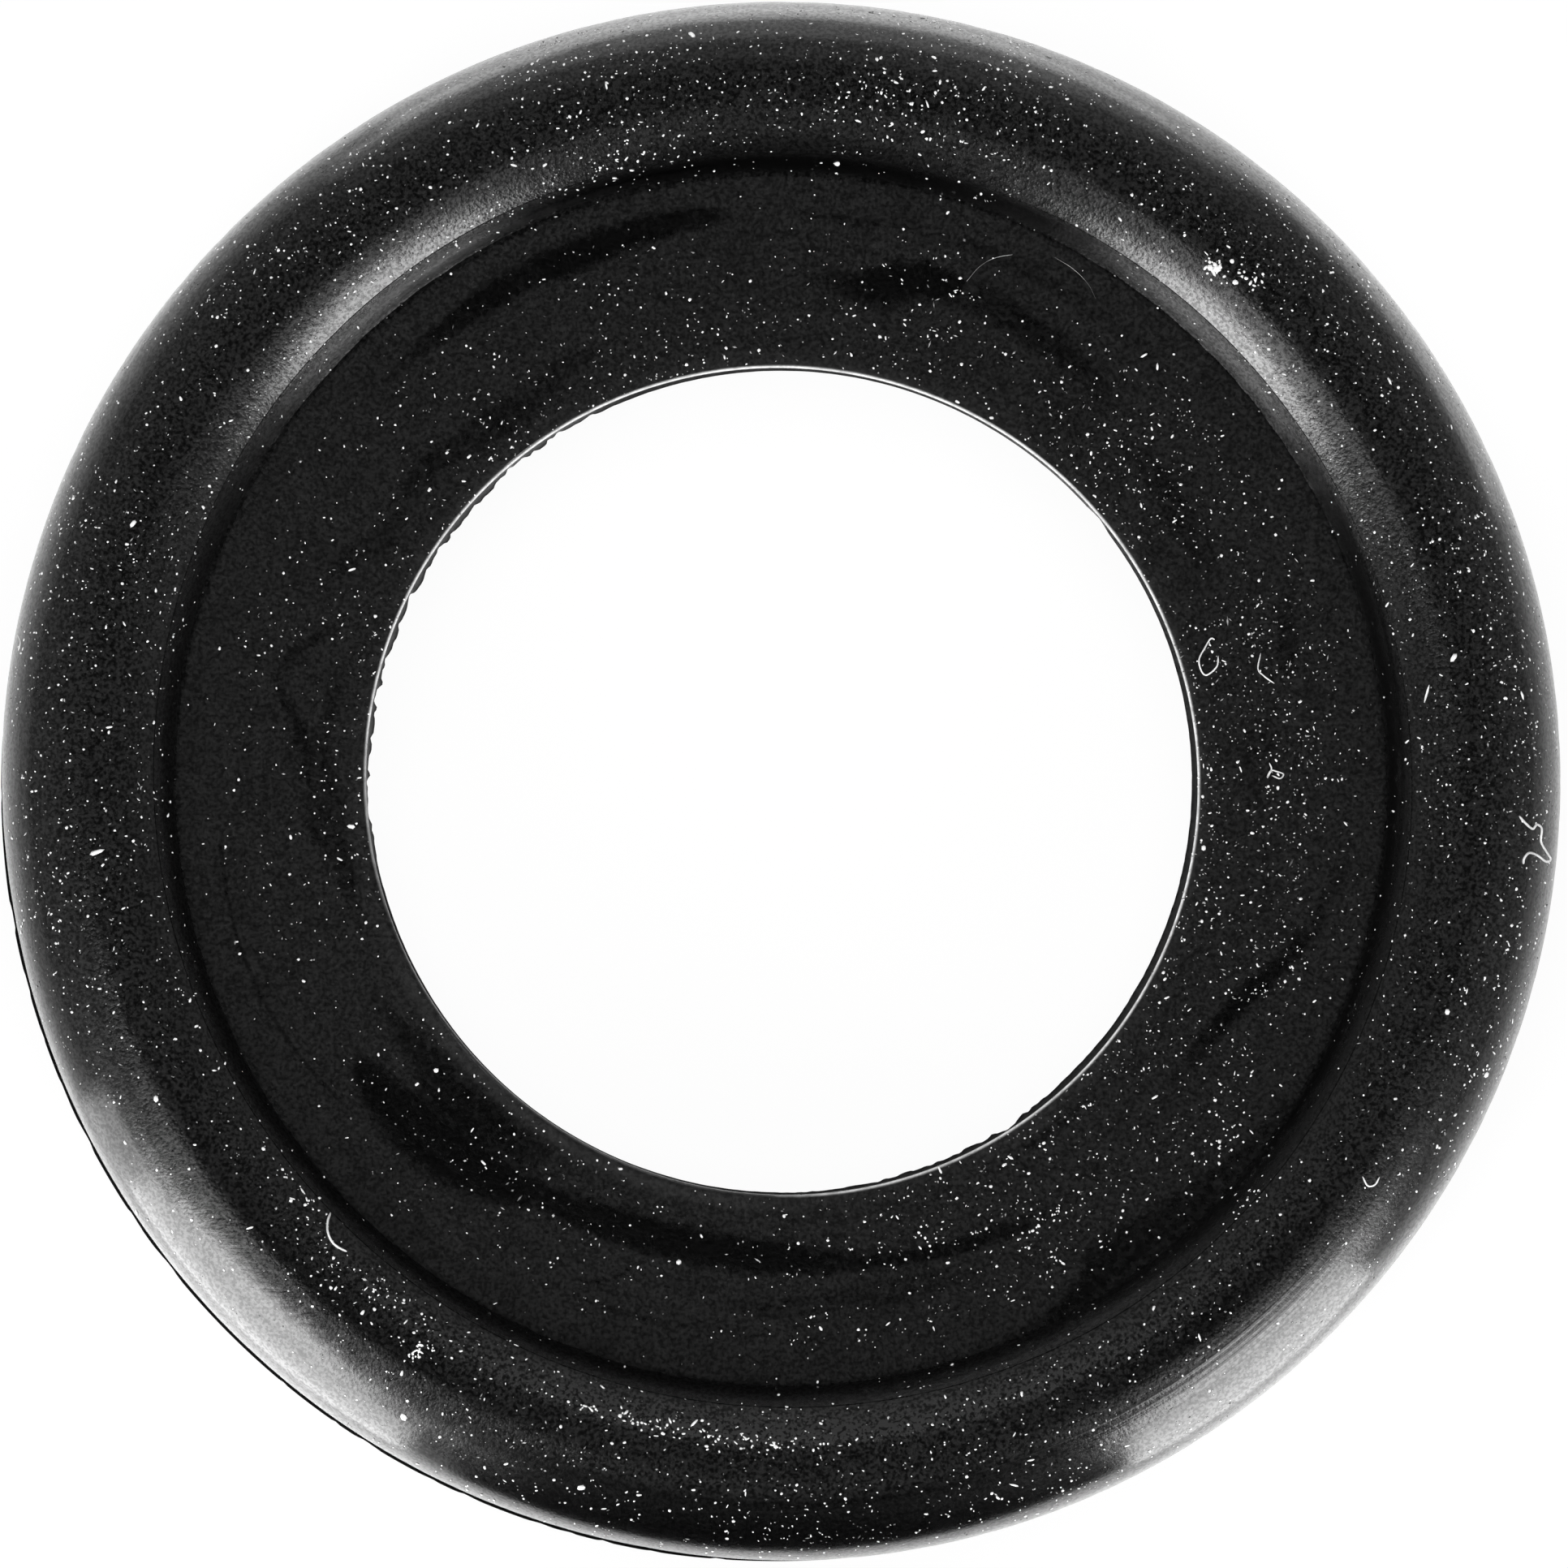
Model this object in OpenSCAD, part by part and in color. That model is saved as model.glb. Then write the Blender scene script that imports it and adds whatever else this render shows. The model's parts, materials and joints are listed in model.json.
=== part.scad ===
// Drain plug washer: one moulded rubber ring. A flat inner web carries a full-round
// sealing bead round its outside, alike on both faces. The bead's outer flank and crowns
// are turned into the mould's halves, and a centre insert forms the web and the steep wall
// at the bead's foot, so a crease is left on the inner flank where the two meet.
// The mould parts at mid height, where thin flash stands from the bore and from the rim.
// The ring's axis is Z, and its origin is the centre of the bore on the parting plane.

/* [Overall] */
// Diameter across the bead's outer band, with the rim's flash left out
outer_d = 22; // [18:0.1:30]
// Diameter of the bore, with the bore's flash left out
bore_d = 11.7; // [8:0.1:14.5]

/* [Bead] */
// Height of the bead, from one sealing crown to the other
bead_h = 3; // [2.2:0.1:4]
// Width of the bead, from where its inner flank would stand upright to the outer band
bead_w = 2.6; // [1.8:0.1:3.2]
// Where the insert's crease lies on the inner flank, in degrees down from the crown
crease_angle = 40; // [25:1:44]
// Steepness of the wall between the crease and the web, in degrees from flat
foot_slope = 55; // [50:1:75]

/* [Web] */
// Thickness of the web between the bore and the bead
web_t = 1.5; // [0.7:0.1:1.8]
// Radius that rounds the two edges of the bore
lip_r = 0.06; // [0.02:0.01:0.2]

/* [Flash] */
// Thickness of the flash that the mould's parting line leaves
flash_t = 0.04; // [0.02:0.01:0.1]
// How far the flash stands into the bore
bore_flash = 0.06; // [0.02:0.01:0.15]
// How far the flash stands out from the rim
rim_flash = 0.03; // [0.02:0.01:0.15]

/* [Hidden] */
$fn = 180;

outer_r = outer_d / 2;
bore_r = bore_d / 2;

// The bead is full round: the radius of its corners is half its smaller side
crown_r = min(bead_w, bead_h) / 2;
bead_mid_r = outer_r - bead_w / 2;
// How far the centres of the corner arcs lie from the bead's middle, across and up
arc_x = bead_w / 2 - crown_r;
arc_z = bead_h / 2 - crown_r;

// The crease, as a point on the bead's inner corner arc
crease_x = bead_mid_r - arc_x - crown_r * sin(crease_angle);
crease_z = arc_z + crown_r * cos(crease_angle);

// The bore's edges can't be rounded by more than a third of the web
edge_r = min(lip_r, web_t / 3);
// How deep the flash is rooted in the rubber behind it
flash_root = 0.3;
// How far a cut runs on past the rubber that it takes away
cut_past = 0.2;

// How far from the axis the foot's wall, or its line carried on, is at a height
function foot_wall_x(z) = crease_x + (z - crease_z) / tan(foot_slope);

// A bar, centred, with all its corners rounded by the crown's radius
module full_round_bar() {
    if (arc_z > 0) square([bead_w, 2 * arc_z], center = true);
    if (arc_x > 0) square([2 * arc_x, bead_h], center = true);
    for (x = arc_x > 0 ? [-arc_x, arc_x] : [0])
        for (z = arc_z > 0 ? [-arc_z, arc_z] : [0])
            translate([x, z]) circle(crown_r);
}

// The space that the mould's centre insert fills between the two foot walls
module insert_section() {
    top_z = bead_h / 2 + cut_past;
    inside_x = bead_mid_r - bead_w / 2 - cut_past;
    polygon([
        [foot_wall_x(top_z), top_z], [foot_wall_x(0), 0], [foot_wall_x(top_z), -top_z],
        [inside_x, -top_z], [inside_x, top_z]
    ]);
}

module bead_section() {
    difference() {
        translate([bead_mid_r, 0]) full_round_bar();
        insert_section();
    }
}

// The web runs from the rounded edges of the bore to the middle of the bead
module web_section() {
    translate([bore_r + edge_r, -web_t / 2])
        square([bead_mid_r - bore_r - edge_r, web_t]);
    translate([bore_r, edge_r - web_t / 2])
        square([2 * edge_r, web_t - 2 * edge_r]);
    for (side = [-1, 1])
        translate([bore_r + edge_r, side * (web_t / 2 - edge_r)]) circle(edge_r);
}

// A fin at mid height, from its root inside the rubber to its free edge
module flash_section(root_r, free_r) {
    translate([min(root_r, free_r), -flash_t / 2])
        square([abs(free_r - root_r), flash_t]);
}

module sealing_washer() {
    color([0.11, 0.11, 0.115])
        rotate_extrude() {
            bead_section();
            web_section();
            flash_section(bore_r + flash_root, bore_r - bore_flash);
            flash_section(outer_r - flash_root, outer_r + rim_flash);
        }
}

sealing_washer();
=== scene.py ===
"""Looks of the drain plug washer: a black moulded rubber ring, dusted with talc and lint.

Everything is in metres, in the part's own frame. Z is the ring's axis, and the origin is the
centre of the bore, half way between the two sealing crowns. Angles run from +X towards +Y.
"""
import json
import math

import bpy
import numpy as np
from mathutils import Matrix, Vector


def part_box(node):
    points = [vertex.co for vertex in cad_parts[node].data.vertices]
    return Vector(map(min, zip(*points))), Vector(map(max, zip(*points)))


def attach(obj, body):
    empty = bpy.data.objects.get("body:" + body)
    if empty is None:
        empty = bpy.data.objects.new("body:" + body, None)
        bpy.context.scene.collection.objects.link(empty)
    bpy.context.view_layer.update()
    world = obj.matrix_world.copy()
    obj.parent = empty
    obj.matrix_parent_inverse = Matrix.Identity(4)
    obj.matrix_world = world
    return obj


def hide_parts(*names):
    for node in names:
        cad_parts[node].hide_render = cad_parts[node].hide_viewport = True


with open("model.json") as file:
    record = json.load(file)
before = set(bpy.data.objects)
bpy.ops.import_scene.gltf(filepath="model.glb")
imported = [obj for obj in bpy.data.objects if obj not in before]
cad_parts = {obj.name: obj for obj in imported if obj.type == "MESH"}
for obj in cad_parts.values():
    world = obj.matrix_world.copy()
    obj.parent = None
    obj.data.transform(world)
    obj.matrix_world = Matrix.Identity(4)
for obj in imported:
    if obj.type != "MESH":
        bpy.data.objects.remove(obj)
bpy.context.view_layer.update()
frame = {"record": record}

MM = 0.001
MICRON = 0.001 * MM
NODE = "sealing_washer"
BODY = "root"

# The ring's sizes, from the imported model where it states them
low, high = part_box(NODE)
mounts = {mount["name"]: mount for mount in frame["record"]["mounts"]}
BORE_R = mounts["bore"]["dims"]["r_mm"] * MM
CROWN_R = mounts["upper_crown"]["pos_m"][0]
CROWN_Z = mounts["upper_crown"]["pos_m"][2]
FLOOR_Z = low.z
RIM_FLASH = 0.03 * MM
BORE_FLASH = 0.06 * MM
FLASH_HALF = 0.02 * MM
RIM_R = high.x - RIM_FLASH
ARC_R = RIM_R - CROWN_R
ARC_Z = CROWN_Z - ARC_R
WEB_Z = 0.75 * MM
LIP_R = 0.05 * MM
CREASE_ANGLE = math.radians(40)
FOOT_SLOPE = math.radians(55)
CREASE_R = CROWN_R - ARC_R * math.sin(CREASE_ANGLE)
CREASE_Z = ARC_Z + ARC_R * math.cos(CREASE_ANGLE)
FOOT_R = CREASE_R - (CREASE_Z - WEB_Z) / math.tan(FOOT_SLOPE)

# How the rubber has settled since it was moulded. At the bore, the foot and the crease, given
# by radius in millimetres, the ring is a little oval and a little off centre. Each has its
# size in millimetres and its direction in degrees.
SETTLED_AT = [5.85, 8.55, 8.86]
OVAL = [0.033, 0.024, 0.052]
OVAL_TURN = [150, 131, 140]
SHIFT = [0.014, 0.035, 0.038]
SHIFT_TURN = [-2, 96, 46]


# ---------------------------------------------------------------- meshes

def mesh_piece(name, points, faces, material):
    """A closed smooth mesh from an array of points and one of faces with equal corners each."""
    mesh = bpy.data.meshes.new(name)
    corners = faces.shape[1]
    mesh.vertices.add(len(points))
    mesh.vertices.foreach_set("co", points.astype(np.float32).ravel())
    mesh.loops.add(faces.size)
    mesh.loops.foreach_set("vertex_index", faces.astype(np.int32).ravel())
    mesh.polygons.add(len(faces))
    mesh.polygons.foreach_set("loop_start", np.arange(len(faces), dtype=np.int32) * corners)
    mesh.polygons.foreach_set("use_smooth", np.full(len(faces), True))
    mesh.update(calc_edges=True)
    mesh.validate()
    mesh.materials.append(material)
    piece = bpy.data.objects.new(name, mesh)
    bpy.context.scene.collection.objects.link(piece)
    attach(piece, BODY)
    return piece


def wander(angle, knots, seed):
    """A smooth random wave round the ring, from -1 to 1: seeded heights at evenly spaced
    knots, joined by a cosine ease, so that the wave closes on itself."""
    heights = np.random.default_rng(seed).uniform(-1, 1, knots)
    place = (angle / (2 * np.pi) % 1) * knots
    knot = np.floor(place).astype(int)
    ease = (1 - np.cos(np.pi * (place - knot))) / 2
    return heights[knot % knots] * (1 - ease) + heights[(knot + 1) % knots] * ease


def bell(value, middle, width):
    """1 at the middle, falling off either way as a bell whose half width is about width."""
    return np.exp(-((value - middle) / width) ** 2)


def turned_from(angle, direction):
    """How far an angle lies from a direction in degrees, as -180 to 180 degrees."""
    return (np.degrees(angle) - direction + 180) % 360 - 180


def arc(centre, radius, start, end, count):
    """Points on a circle in the (r, z) plane, from one angle in degrees to another."""
    turn = np.radians(np.linspace(start, end, count))
    return np.stack([centre[0] + radius * np.cos(turn), centre[1] + radius * np.sin(turn)], 1)


def line(start, end, count):
    """Evenly spaced points from start to end in the (r, z) plane, both included."""
    return np.linspace(start, end, count)


def half_section(fine):
    """The upper half of the ring's section, from the bore's flash over the web and the bead
    to the rim's flash, as (r, z) points. fine is 1 for full detail, or less for fewer points.

    The lip, the foot's wall and the bead are arcs and the web is straight. The wall crowns a
    little: it leaves the web steeply and lies flatter where it meets the crease, which is
    marked by a groove a few microns deep where two parts of the mould met."""
    wall_crown = math.radians(12)
    groove_half = 0.009 * MM
    groove_deep = 0.007 * MM
    crease = np.array([CREASE_R, CREASE_Z])
    foot = np.array([FOOT_R, WEB_Z])
    wall_radius = np.linalg.norm(crease - foot) / (2 * math.sin(wall_crown))
    turn = FOOT_SLOPE + math.pi / 2
    towards = np.array([math.cos(turn), math.sin(turn)])
    wall_centre = (crease + foot) / 2 - towards * wall_radius * math.cos(wall_crown)
    wall_start = math.degrees(turn + wall_crown)
    wall_end = math.degrees(turn - wall_crown + groove_half / wall_radius)
    into = np.array([math.cos(CREASE_ANGLE), -math.sin(CREASE_ANGLE)])
    arc_start = 90 + math.degrees(CREASE_ANGLE) - math.degrees(groove_half / ARC_R)
    tip_z = 0.4 * FLASH_HALF
    return np.concatenate([
        [[BORE_R - BORE_FLASH, tip_z]],
        line([BORE_R, FLASH_HALF], [BORE_R, WEB_Z - LIP_R], 3)[:-1],
        arc([BORE_R + LIP_R, WEB_Z - LIP_R], LIP_R, 180, 90, round(7 * fine)),
        line([BORE_R + LIP_R, WEB_Z], [FOOT_R, WEB_Z], round(36 * fine))[1:-1],
        arc(wall_centre, wall_radius, wall_start, wall_end, round(6 * fine)),
        [crease + into * groove_deep],
        arc([CROWN_R, ARC_Z], ARC_R, arc_start, 0, round(34 * fine)),
        [[RIM_R, FLASH_HALF]],
        [[RIM_R + RIM_FLASH, 0.9 * FLASH_HALF]],
    ])


def settle(r, angle):
    """How far the ring's inner features stand out from round, by radius and angle: a once
    round cosine for the shift and a twice round one for the oval. Both are whole from the
    crease inwards, and fade to nothing at the rim."""
    share = np.clip((RIM_R - r) / (RIM_R - CREASE_R), 0, 1)
    oval, oval_turn, shift, shift_turn = [
        np.interp(r / MM, SETTLED_AT, row) for row in (OVAL, OVAL_TURN, SHIFT, SHIFT_TURN)]
    out = (oval * np.cos(2 * (angle - np.radians(oval_turn)))
           + shift * np.cos(angle - np.radians(shift_turn)))
    return out * MM * share


def flash_tip(angle):
    """Radius of the free edge of the bore's flash. It was trimmed to a true circle, so its
    width is what is left between that circle and the oval bore. reach says what share of
    that width remains: whole on one side, torn into teeth or gone on the other."""
    degrees = np.degrees(angle) % 360
    reach = np.interp(
        degrees,
        [0, 37, 39.5, 42, 60, 118, 126, 180, 192, 196, 268, 275, 288, 291, 293, 301, 303, 306, 360],
        [0.9, 0.9, 0.15, 0.7, 0.9, 0.9, 1, 1, 0.8, 0.75, 0.75, 0.8, 1, 0.9, 1, 0.9, 0.1, 0.9, 0.9])
    torn = np.interp(degrees, [0, 112, 122, 186, 196, 268, 280, 306, 312, 360],
                     [0.06, 0.06, 0.9, 0.9, 0.1, 0.1, 0.5, 0.5, 0.12, 0.06])
    teeth = 0.5 + 0.35 * wander(angle, 150, 11) + 0.45 * wander(angle, 420, 12)
    trimmed = BORE_R - BORE_FLASH
    wall = BORE_R + settle(BORE_R, angle)
    kept = np.clip(reach * (1 - torn * np.clip(teeth, 0, 1)), 0.03, 1)
    return np.minimum(wall - (wall - trimmed) * kept, wall - 0.002 * MM)


def rim_tip(angle):
    """Radius of the free edge of the rim's flash: it stands on the lower left, and elsewhere
    it is trimmed close, with a few nicks along it."""
    degrees = np.degrees(angle) % 360
    reach = np.interp(degrees, [0, 176, 188, 262, 274, 360], [0.12, 0.12, 0.75, 0.75, 0.12, 0.12])
    nicks = np.clip(wander(angle, 300, 14) - 0.35, 0, 1) * 1.6
    return RIM_R + RIM_FLASH * reach * np.clip(1 - nicks, 0.25, 1)


def uneven(section, angle):
    """The hand-dressed mould's unevenness: which way is out of the rubber at each section
    point, and how far the face stands out there. The height is a sum of cosines over the
    distance along the section and the distance round, each with its own direction, phase
    and wavelength of a few tenths of a millimetre. It is none on the flash and the lip, and
    twice as much where the outer flank was rubbed at the lower left."""
    waves = 36
    rng = np.random.default_rng(41)
    wavelength = rng.uniform(0.35, 0.95, waves) * MM
    heading = rng.uniform(0, np.pi, waves)
    phase = rng.uniform(0, 2 * np.pi, waves)
    tangent = np.gradient(section, axis=0)
    tangent = tangent / np.linalg.norm(tangent, axis=1)[:, None]
    steps = np.linalg.norm(np.diff(section, axis=0), axis=1)
    along = np.concatenate([[0], np.cumsum(steps)])[:, None]
    turns = np.round(2 * np.pi * CROWN_R / wavelength * np.cos(heading))
    height = 0 * (along + angle)
    for k in range(waves):
        height += np.cos(2 * np.pi * along / wavelength[k] * np.sin(heading[k])
                         + angle * turns[k] + phase[k])
    height = height / math.sqrt(waves / 2)
    faces = (np.abs(section[:, 1:]) > 4 * FLASH_HALF) & (section[:, :1] > 6.0 * MM)
    rubbed = 1 + bell(turned_from(angle, 229), 0, 14) * bell(section[:, :1] / MM, 10.0, 0.3)
    usual = 0.42 * MICRON
    return -tangent[:, 1:], tangent[:, :1], usual * height * faces * rubbed


def make_ring(material):
    """The ring: the section carried round the axis, as radius and height over (section
    point, angle). To the turned form are added the settled oval, a ragged flash, a rim that
    is pinched in at the lower left, a foot whose corner wanders by a hundredth of a
    millimetre, and a web and a crown that wave by microns."""
    around = 900
    underside_detail = 0.22
    pinch_from = 10.8 * MM
    pinch = 0.022 * MM
    web_wave = 4 * MICRON
    foot_wander = 0.008 * MM
    crown_wave = 5 * MICRON
    upper = half_section(1)
    lower = (half_section(underside_detail) * [1, -1])[::-1]
    section = np.concatenate([upper, lower])
    count = len(section)
    angle = np.linspace(0, 2 * np.pi, around, endpoint=False)[None, :]
    flat_r = section[:, :1]
    facing = np.sign(section[:, 1:])
    r = flat_r + settle(flat_r, angle)
    z = section[:, 1:] + 0 * angle

    for tip in (0, count - 1):
        r[tip] = flash_tip(angle[0])
    for tip in (len(upper) - 1, len(upper)):
        r[tip] = rim_tip(angle[0])
    near_rim = np.clip((flat_r - pinch_from) / (RIM_R - pinch_from), 0, 1) ** 2
    pinched = np.interp(np.degrees(angle) % 360, [178, 190, 260, 272], [0, 1, 1, 0])
    r = r - pinch * near_rim * pinched * (np.abs(section[:, 1:]) >= FLASH_HALF)
    on_web = np.clip((FOOT_R - flat_r) / (0.2 * MM), 0, 1)
    on_web = on_web * (np.abs(section[:, 1:]) > WEB_Z - 0.5 * LIP_R)
    z = z + facing * on_web * web_wave * wander(angle + 40 * flat_r / MM, 23, 3)
    near_foot = bell(flat_r, FOOT_R, 0.05 * MM)
    r = r + near_foot * foot_wander * (wander(angle, 230, 5) + 0.6 * wander(angle, 57, 6))
    on_crown = np.clip((np.abs(section[:, 1:]) - CREASE_Z) / (CROWN_Z - CREASE_Z), 0, 1)
    z = z + facing * on_crown * crown_wave * (wander(angle, 9, 7) - 1)
    out_r, out_z, lift = uneven(section, angle)
    r = r + out_r * lift
    z = z + out_z * lift

    points = np.stack([r * np.cos(angle), r * np.sin(angle), z], 2).reshape(-1, 3)
    i = np.arange(count)[:, None]
    j = np.arange(around)[None, :]
    next_i = (i + 1) % count
    next_j = (j + 1) % around
    faces = np.stack([i * around + j, next_i * around + j,
                      next_i * around + next_j, i * around + next_j], 2).reshape(-1, 4)
    ring = mesh_piece("washer_ring", points, faces, material)
    ring.data.set_sharp_from_angle(angle=math.radians(32))
    flat_r = flat_r + 0 * angle
    turned = np.where(facing > 0, angle, -angle)
    # The bloom share holds painted sheen on the bead and painted shade on the foot's wall, the dust
    # share holds the lip's painted highlight, and the foot's share takes gloss off its unlit sides
    # as painted shade.
    on_mould = {"bloom": bloom_and_sheen_share(flat_r, turned), "stain": stain_share(flat_r, turned),
                "scuff": scuff_share(flat_r, turned), "rub": rub_share(flat_r, turned),
                "unlit_foot": unlit_foot_share(flat_r, turned),
                "dust": lip_highlight_and_talc_share(flat_r, section[:, 1:], turned)}
    for name, share in on_mould.items():
        layer = ring.data.attributes.new(name, "FLOAT", "POINT")
        layer.data.foreach_set("value", share.astype(np.float32).ravel())
    lay_out_for_bake(ring, section, around)
    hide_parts(NODE)


# ---------------------------------------------------------------- marks on the rubber

def lamp_highlight_zone(angle):
    """Where the lamps' highlights fall on the outer flank, from 0 to 1: at the lower left and
    right.
    """
    degrees = np.degrees(angle) % 360
    return bell(degrees, 228, 15) + bell(degrees, 309, 14)


def bloom_and_sheen_share(r, angle):
    """How much pale bloom lies on the rubber, with painted sheen and painted shade in it. It
    follows
    the radius: 0.79 on the web, which is the rubber's own bloom; none on the foot's wall, which is
    painted shade in the crease; and up to twice as much on the bead, which is painted sheen
    standing in for the pale room it mirrors, with a dip at the crown where it mirrors the dark
    ceiling. There is less of the painted sheen where the lamps' highlights fall on the outer
    flank and in the dark gap between them at the front, and several times as much of it low
    down on the inner flank at the front."""
    # Painted sheen on the bead is cut back where the lamps' highlights fall.
    kept = 1 - 0.6 * lamp_highlight_zone(angle) * np.clip((r / MM - 9.5) / 0.2, 0, 1)
    inner = np.clip((9.44 - r / MM) / 0.16, 0, 1) * (r > CREASE_R)
    kept = kept * (1 + 4.0 * bell(turned_from(angle, 270), 0, 36) * inner)
    # Painted shade: the sheen on the outer flank is taken off in the dark gap between the
    # highlights at the front.
    bare = np.interp(np.degrees(angle) % 360, [243, 252, 288, 297], [0, 1, 1, 0])
    kept = kept * (1 - 0.8 * bare * np.clip((r / MM - 10.0) / 0.2, 0, 1))
    # By radius: 0.79 on the web is its own bloom, the zero on the foot's wall is painted shade, and
    # the higher values on the bead are painted sheen.
    return np.interp(
        r / MM,
        [BORE_R / MM, 8.54, 8.57, 8.84, 8.90, 9.2, 9.45, 9.65, 9.82, 9.98, 10.3, 10.5, 11.0],
        [0.79, 0.79, 0.0, 0.02, 0.45, 1.15, 1.50, 1.30, 1.20, 1.65, 1.75, 1.35, 0.2]) * kept


# Stains where the bloom is gone, as strokes over the web. Each stroke is a list of places by
# angle in degrees, with its radius and half its width there in millimetres, and how much of
# the bloom is lost.
STAINS = [
    [(93, 8.0, 0.08, 0), (97, 8.0, 0.12, 0.8), (101, 8.0, 0.18, 0.9), (110, 7.92, 0.23, 1),
     (114, 7.92, 0.24, 1), (116, 7.95, 0.22, 0.75), (120, 7.92, 0.2, 0.95), (126, 7.9, 0.16, 0.8),
     (130, 7.9, 0.12, 0.6), (134, 7.9, 0.1, 0.4), (140, 7.9, 0.1, 0)],
    [(69.3, 7.35, 0.2, 0), (70, 7.35, 0.2, 0.9), (74, 7.35, 0.26, 0.95), (77, 7.2, 0.34, 0.9),
     (80, 7.1, 0.28, 0.85), (83, 7.05, 0.2, 0.6), (87, 7.2, 0.14, 0.3), (90, 7.2, 0.1, 0)],
    [(44, 7.0, 0.15, 0), (50, 7.1, 0.2, 0.4), (55, 7.25, 0.2, 0.6), (62, 7.3, 0.25, 0.65),
     (69, 7.35, 0.25, 0.55), (69.5, 7.35, 0.25, 0)],
    [(44, 7.8, 0.12, 0), (50, 7.9, 0.12, 0.4), (58, 7.95, 0.12, 0.4), (70, 8.0, 0.12, 0.45),
     (77, 7.95, 0.1, 0.3), (84, 7.95, 0.08, 0.6), (88, 7.98, 0.07, 0.3), (90, 7.98, 0.07, 0)],
    [(20, 6.6, 0.2, 0), (28, 6.75, 0.2, 0.4), (34, 6.75, 0.2, 0.55), (40, 6.85, 0.2, 0.5),
     (50, 6.9, 0.2, 0)],
    [(10, 7.2, 0.1, 0), (13, 7.3, 0.17, 0.55), (17, 7.45, 0.15, 0.5), (25, 7.55, 0.1, 0)],
    [(-12, 6.7, 0.25, 0), (-4, 6.7, 0.25, 0.3), (5, 6.75, 0.3, 0.4), (12, 6.8, 0.25, 0)],
    [(108, 6.6, 0.15, 0), (117, 6.6, 0.2, 0.45), (123, 6.4, 0.25, 0.5), (128, 6.4, 0.28, 0.6),
     (133, 6.5, 0.22, 0.5), (138, 6.65, 0.2, 0.65), (142, 6.65, 0.2, 0.45), (148, 6.5, 0.2, 0.4),
     (154, 6.9, 0.22, 0.5), (159, 7.0, 0.15, 0)],
    [(160, 6.6, 0.1, 0), (162, 6.75, 0.1, 0.6), (165, 7.1, 0.12, 0.6), (168, 7.25, 0.1, 0.45),
     (171, 7.05, 0.12, 0.55), (174, 6.8, 0.15, 0.65), (178, 6.7, 0.15, 0.5), (184, 6.8, 0.15, 0)],
    [(163, 6.45, 0.1, 0), (167, 6.4, 0.1, 0.45), (175, 6.5, 0.12, 0.5), (182, 6.5, 0.3, 0.5),
     (186, 6.5, 0.32, 0.5), (190, 6.3, 0.18, 0.55), (195, 6.3, 0.12, 0.5), (203, 6.3, 0.1, 0)],
    [(212, 7.2, 0.15, 0), (214.5, 7.2, 0.25, 0.8), (218, 7.2, 0.31, 1), (222, 7.15, 0.4, 1),
     (227, 7.1, 0.44, 1), (231, 7.05, 0.4, 1), (235, 6.95, 0.32, 1), (240, 6.8, 0.22, 0.8),
     (245, 6.75, 0.24, 0.9), (250, 6.7, 0.26, 1), (260, 6.7, 0.25, 1), (270, 6.75, 0.24, 1),
     (274, 6.8, 0.2, 0.85), (278, 6.85, 0.16, 0.75), (283, 6.92, 0.14, 0.8), (293, 7.05, 0.13, 0.8),
     (298, 7.1, 0.13, 0.65), (303, 7.2, 0.12, 0.4), (307, 7.2, 0.1, 0)],
    [(204, 6.6, 0.1, 0), (210, 6.5, 0.12, 0.5), (215, 6.4, 0.18, 0.65), (219, 6.4, 0.3, 0.7),
     (223, 6.5, 0.35, 0.8), (228, 6.45, 0.38, 0.85), (232, 6.45, 0.36, 0.75), (236, 6.4, 0.3, 0.6),
     (243, 6.4, 0.2, 0)],
    [(246, 7.82, 0.06, 0), (251, 7.88, 0.06, 0.55), (258, 7.85, 0.06, 0.5), (265, 7.85, 0.06, 0.45),
     (274, 7.9, 0.06, 0)],
    [(248, 7.7, 0.06, 0), (250, 7.55, 0.06, 0.6), (252, 7.35, 0.06, 0.65), (254, 7.1, 0.06, 0.5),
     (255, 7.0, 0.06, 0)],
    [(258, 7.4, 0.1, 0), (268, 7.5, 0.12, 0.45), (275, 7.4, 0.2, 0.4), (284, 7.4, 0.25, 0.45),
     (290, 7.4, 0.2, 0.35), (298, 7.4, 0.2, 0)],
    [(290, 8.52, 0.06, 0), (294, 8.5, 0.08, 0.6), (298, 8.45, 0.13, 0.8), (301, 8.37, 0.2, 0.85),
     (303, 8.2, 0.33, 0.75), (306, 8.2, 0.36, 0.75), (310, 8.25, 0.3, 0.7), (315, 8.3, 0.24, 0.65),
     (320, 8.38, 0.17, 0.6), (327, 8.45, 0.1, 0.5), (335, 8.5, 0.06, 0)],
    [(316, 7.0, 0.12, 0), (324, 6.95, 0.12, 0.45), (329, 7.0, 0.14, 0.75), (333, 7.1, 0.16, 0.9),
     (337, 7.3, 0.17, 0.85), (341, 7.55, 0.16, 0.7), (345, 7.75, 0.14, 0.55),
     (350, 7.95, 0.12, 0.4), (358, 8.1, 0.1, 0)],
    [(298, 6.2, 0.1, 0), (304, 6.2, 0.1, 0.4), (312, 6.2, 0.1, 0.4), (318, 6.2, 0.1, 0)],
]


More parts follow.
